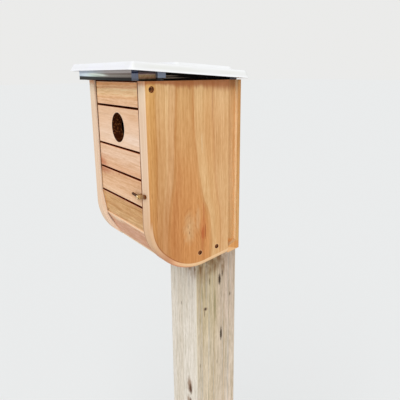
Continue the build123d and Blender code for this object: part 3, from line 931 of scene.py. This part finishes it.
def dress_post():
    wood = Wood("weathered_post", "z", 2.0)
    wood.amber = (0.95, 1.0, 1.25)
    colour, checks = post_wood(wood)
    arris = [wood.step(wood.absolute(side), 0.15, 0.45) for side in (wood.nx, wood.ny)]
    colour = wood.cover(colour, (226, 218, 202), *arris, 0.7)
    faces = (
        (wood.y, wood.nx, post_right_marks),
        (wood.x, wood.negative(wood.ny), post_front_marks),
    )
    for across, facing, marks in faces:
        here = wood.step(facing, 0.5, 0.85)
        colour = wood.marked(colour, wood.flat(across, wood.z), marks, 0.5, 0.3, here)
    colour = post_stains(wood, colour)
    heart = (0, (post_box[0][1] + post_box[1][1]) / 2)
    colour = wood.end_rings(colour, (170, 150, 122), heart, 4.5)
    height = wood.minus(wood.plus(wood.fibre, wood.streak(2.5, 120, 44)), checks)
    wood.bump(height, 0.5, 0.8)
    rough = wood.step(wood.fibre, 0.25, 0.75, 0.85, 0.7)
    assign(wood.finish(colour, rough, Specular_IOR_Level=matt), "post")


# Roof
roof_slope_deg = 3.9
rim_height = 12


def roof_rim(shader):
    """The upright rim: painted highlights along its foot and top, warmer grey between, painted
    shade in front.
    """
    low, high = house_box("roof_shell")
    slope = math.tan(math.radians(roof_slope_deg))
    foot = shader.math("MULTIPLY_ADD", shader.minus(high[1], shader.y), slope, low[2])
    rise = shader.minus(shader.z, foot)
    tones = shader.ramp(
        rise, rim_height,
        (0, 249, 249, 249), (1.4, 248, 248, 248), (3.2, 232, 231, 226), (6, 234, 234, 229),
        (8.6, 246, 246, 246), (rim_height, 246, 246, 246),
    )
    ahead = shader.step(shader.ny, -0.4, -0.7)
    cool = shader.ramp(
        rise, rim_height, (0, 248, 248, 252), (3, 237, 236, 243), (7, 242, 242, 247)
    )
    return shader.mix(ahead, tones, cool)


def dress_roof():
    shader = Shader("white_shell", 3.0)
    dust = shader.step(shader.cloud((30, 60, 30), 1, 4.0), 0.45, 0.7)
    colour = shader.cover((239, 239, 239), (226, 226, 223), dust, 0.6)
    upright = shader.step(shader.absolute(shader.nz), 0.8, 0.65)
    patchy = shader.step(shader.cloud((45, 45, 9), 7, 3.0), 0.35, 0.65, 0.4, 1.0)
    colour = shader.cover(colour, roof_rim(shader), upright, patchy)
    # Painted shade: the underside bluish and greyer.
    cool = shader.mix(shader.cloud((60, 40, 40), 2), (246, 247, 250), (230, 233, 240))
    colour = shader.mix(shader.step(shader.nz, -0.2, -0.6), colour, cool)
    shader.bump(shader.cloud(0.5, 4), 0.02, 0.5)
    gloss = shader.step(shader.cloud((18, 40, 18), 5, 3.0), 0.35, 0.65, 0.28, 0.42)
    assign(shader.finish(colour, gloss), "roof_shell")


def dress_rails():
    """Blue-grey metal of the middle and rear rails."""
    shader = Shader("rail_metal", 4.0)
    brushed = shader.cloud((60, 1.2, 0.7), 1, 3.0)
    colour = shader.mix(shader.cloud((20, 8, 8), 2), (126, 136, 155), (147, 156, 174))
    colour = shader.tone(colour, (brushed, 0.3))
    shader.bump(brushed, 0.03, 0.5)
    # Painted shade: darker towards the back, under the roof.
    rear_shade = shader.step(shader.y, board_depth - 30, board_depth - 10)
    colour = shader.cover(colour, (44, 34, 28), rear_shade, 0.85)
    rail = shader.finish(colour, shader.step(brushed, 0.3, 0.7, 0.32, 0.46), Metallic=0.7)
    assign(rail, "roof_rail_middle", "roof_rail_rear")


def rail_face(shader, along, length):
    """Front rail's face: painted reflection from blue-white to brown-grey, painted shade and
    highlights.
    """
    face = shader.ramp(
        along, length,
        (0, 202, 217, 232), (24, 226, 240, 248), (48, 208, 226, 217), (66, 174, 190, 176),
        (92, 128, 116, 107), (160, 106, 91, 83),
    )
    shade = shader.mix(shader.step(along, 30, 110), (156, 166, 182), (176, 168, 166))
    face = shader.cover(face, shade, shader.step(shader.z, 8.6, 10.2), 0.85)
    lit_top = shader.product(shader.step(shader.z, 12.2, 13.2), shader.step(along, 80, 55))
    face = shader.mix(lit_top, face, (232, 236, 242))
    centre = shader.step(along, 30, 110, 8.9, 6.2)
    streak = shader.step(shader.absolute(shader.minus(shader.z, centre)), 1.7, 0.4)
    ends = shader.step(along, 30, 50), shader.step(along, 108, 78, 0.1, 0.9)
    return shader.cover(face, (226, 234, 224), streak, *ends)


def dress_front_rail():
    low, high = house_box("roof_rail_front")
    shader = Shader("front_rail_metal", 5.0)
    brushed = shader.cloud((60, 1.2, 0.7), 1, 3.0)
    along = shader.minus(shader.plus(shader.x, shader.sway((40, 10, 10), 6, 2)), low[0])
    face = rail_face(shader, along, high[0] - low[0])
    # The dark lower part and the darker bands on the cut ends: painted shade
    edge = shader.curve(along, 170, 10, (0, 5.8), (24, 5.4), (60, 5.0), (90, 4.6), (170, 4.4))
    lower = shader.step(shader.minus(shader.z, edge), 0.8, -0.8)
    bottom = shader.mix(shader.step(along, 30, 130), (33, 35, 30), (22, 14, 9))
    face = shader.mix(lower, face, bottom)
    end = shader.step(shader.absolute(shader.nx), 0.6, 0.9)
    cut = shader.ramp(
        shader.z, 20,
        (0, 84, 86, 92), (4, 108, 112, 126), (8.4, 112, 118, 136), (9.2, 30, 36, 58),
        (10.2, 34, 40, 60), (11, 78, 82, 98), (20, 84, 86, 100),
    )
    face = shader.tone(shader.mix(end, face, cut), (brushed, 0.25))
    shader.bump(brushed, 0.03, 0.5)
    shadow = shader.product(lower, shader.opposite(end))
    shader.give("Metallic", shader.opposite(shadow))
    specular = shader.step(shadow, 0, 1, 0.5, 0.05)
    shader.give("Specular IOR Level", specular)
    assign(shader.finish(face, shader.step(brushed, 0.3, 0.7, 0.26, 0.4)), "roof_rail_front")


def dress_liner():
    """Board under the roof, painted near black as shade, with two paler layers in its edge, and
    the dark spacers.
    """
    shader = Shader("dark_liner", 6.0)
    low = house_box("roof_liner")[0]
    colour = shader.mix(shader.cloud((9, 9, 2), 1, 3.0), (10, 7, 6), (21, 16, 14))
    for rise, reach in ((2.6, 40), (4.9, 24)):
        layer = shader.between(shader.z, low[2] + rise - 0.5, low[2] + rise + 0.5, 0.3)
        near = shader.step(shader.y, low[1] + reach, low[1] + 4)
        colour = shader.cover(colour, (190, 174, 156), layer, near, 0.8)
    shader.bump(shader.cloud((1.2, 1.2, 0.6), 2, 3.0), 0.2, 0.6)
    assign(shader.finish(colour, 0.85, Specular_IOR_Level=matt), "roof_liner")
    shader = Shader("spacer_plastic", 6.5)
    colour = shader.mix(shader.cloud(4, 1), (34, 30, 28), (48, 44, 42))
    shader.bump(shader.cloud(0.4, 2), 0.03, 0.5)
    assign(shader.finish(colour, 0.5), "rail_spacer_left", "rail_spacer_right")


# Metal fittings
def dress_brass():
    """The turn button with its screw: painted shade along its brown far end, a painted highlight
    at its hub.
    """
    low, high = house_box("turn_button")
    shader = Shader("aged_brass", 8.0)
    along = shader.minus(shader.x, low[0])
    shade = shader.ramp(
        along, high[0] - low[0],
        (0, 84, 44, 8), (17, 80, 42, 8), (20.5, 214, 178, 116), (23.5, 190, 146, 84),
        (27, 164, 116, 62), (31, 170, 122, 66), (33.5, 136, 78, 24), (36, 116, 62, 14),
    )
    tarnish = shader.step(shader.cloud(2.5, 1, 3.0), 0.5, 0.7)
    shade = shader.cover(shade, (84, 54, 24), tarnish, 0.5)
    scratch = shader.cloud((2.0, 0.2, 0.2), 2, 3.0)
    shader.bump(scratch, 0.02, 0.6)
    shader.surface.inputs["Specular IOR Level"].default_value = 0.3
    shader.give("Metallic", shader.step(along, 16, 20, 0.15, 0.8))
    shader.give("Specular IOR Level", shader.step(along, 16, 20, 0.1, 0.5))
    assign(shader.finish(shade, shader.step(scratch, 0.3, 0.7, 0.3, 0.45)), "turn_button")
    shader = Shader("brass_screw", 9.0)
    shade = shader.cloud(1.5, 1, 3.0)
    shade = shader.mix(shade, (255, 238, 200), (206, 164, 100))
    shader.bump(shader.cloud(0.3, 2), 0.02, 0.6)
    assign(shader.finish(shade, 0.25, Metallic=0.9), "turn_button_screw")


def dress_screws():
    """Rusty heads of the steel screws, and pivot screws with a light rim and a dark middle."""
    shader = Shader("browned_steel", 10.0)
    rust = shader.step(shader.cloud(1.6, 1, 3.0), 0.42, 0.62)
    colour = shader.mix(rust, (140, 78, 38), (62, 24, 8))
    shader.bump(shader.cloud(0.5, 2, 3.0), 0.06, 0.7)
    rough = shader.step(rust, 0, 1, 0.45, 0.75)
    steel = shader.finish(colour, rough, Metallic=0.1, Specular_IOR_Level=0.15)
    kinds = ("floor_screw", "roof_screw", "post_screw")
    assign(steel, *[name for name in nodes if name.startswith(kinds)])
    shader = Shader("pivot_brass", 10.5)
    dull = shader.step(shader.cloud(1.8, 1, 3.0), 0.4, 0.6)
    colour = shader.mix(dull, (178, 108, 50), (66, 26, 8))
    radius = shader.distance(shader.y, shader.z, pivot_place)
    colour = shader.cover(colour, (222, 158, 96), shader.step(radius, 2.3, 3.1), 0.85)
    colour = shader.cover(colour, (44, 10, 3), shader.step(radius, 2.0, 1.0), 0.8)
    shader.bump(shader.cloud(0.5, 2, 3.0), 0.05, 0.7)
    assign(shader.finish(colour, 0.5, Metallic=0.4), "pivot_screw_left", "pivot_screw_right")


# Studio
floor_reach = 60
floor_level = 0.85
floor_warmth = 0.988
sky_level = 0.7
sky_tint = (0.98, 1.0, 1.02)
key_level = 0.41
key_direction = Vector((0.21, -0.21, 0.28))
key_spread_deg = 40
backdrop_colour = (0.83, 0.83, 0.82)


def studio_floor():
    mesh = bpy.data.meshes.new("floor")
    signs = ((-1, -1), (1, -1), (1, 1), (-1, 1))
    corners = [(across * floor_reach, along * floor_reach, 0) for across, along in signs]
    mesh.from_pydata(corners, [], [(0, 1, 2, 3)])
    floor = bpy.data.objects.new("studio_floor", mesh)
    bpy.context.scene.collection.objects.link(floor)
    shader = Shader("studio_floor")
    floor_colour = (floor_level, floor_level, floor_warmth * floor_level)
    mesh.materials.append(shader.finish(floor_colour, 1.0, Specular_IOR_Level=0.0))


def studio_world():
    """Even light from all sides, with the floor's tone where the background shows."""
    world = bpy.data.worlds.new("studio")
    bpy.context.scene.world = world
    world.use_nodes = True
    tree = world.node_tree
    rays = tree.nodes.new("ShaderNodeLightPath")
    shown = rays.outputs["Is Camera Ray"]
    for name in ("Is Glossy Ray", "Is Transmission Ray"):
        either = tree.nodes.new("ShaderNodeMath")
        either.operation = "MAXIMUM"
        tree.links.new(shown, either.inputs[0])
        tree.links.new(rays.outputs[name], either.inputs[1])
        shown = either.outputs[0]
    blend = tree.nodes.new("ShaderNodeMix")
    blend.data_type = "RGBA"
    tree.links.new(shown, blend.inputs["Factor"])
    blend.inputs["A"].default_value = (*(sky_level * share for share in sky_tint), 1)
    blend.inputs["B"].default_value = (*backdrop_colour, 1)
    tree.links.new(blend.outputs["Result"], tree.nodes["Background"].inputs["Color"])


def studio_key():
    data = bpy.data.lights.new("key", "SUN")
    data.energy = key_level * math.pi
    data.angle = math.radians(key_spread_deg)
    lamp = bpy.data.objects.new("key", data)
    lamp.rotation_euler = key_direction.to_track_quat("Z", "Y").to_euler()
    bpy.context.scene.collection.objects.link(lamp)


place_camera()
dress_side("side_right", 0.0, False)
dress_side("side_left", 31.0, True)
dress_back()
dress_front()
dress_hidden_wood()
dress_post()
dress_roof()
dress_rails()
dress_front_rail()
dress_liner()
dress_brass()
dress_screws()
studio_floor()
studio_world()
studio_key()

bpy.context.scene.view_settings.view_transform = "Standard"
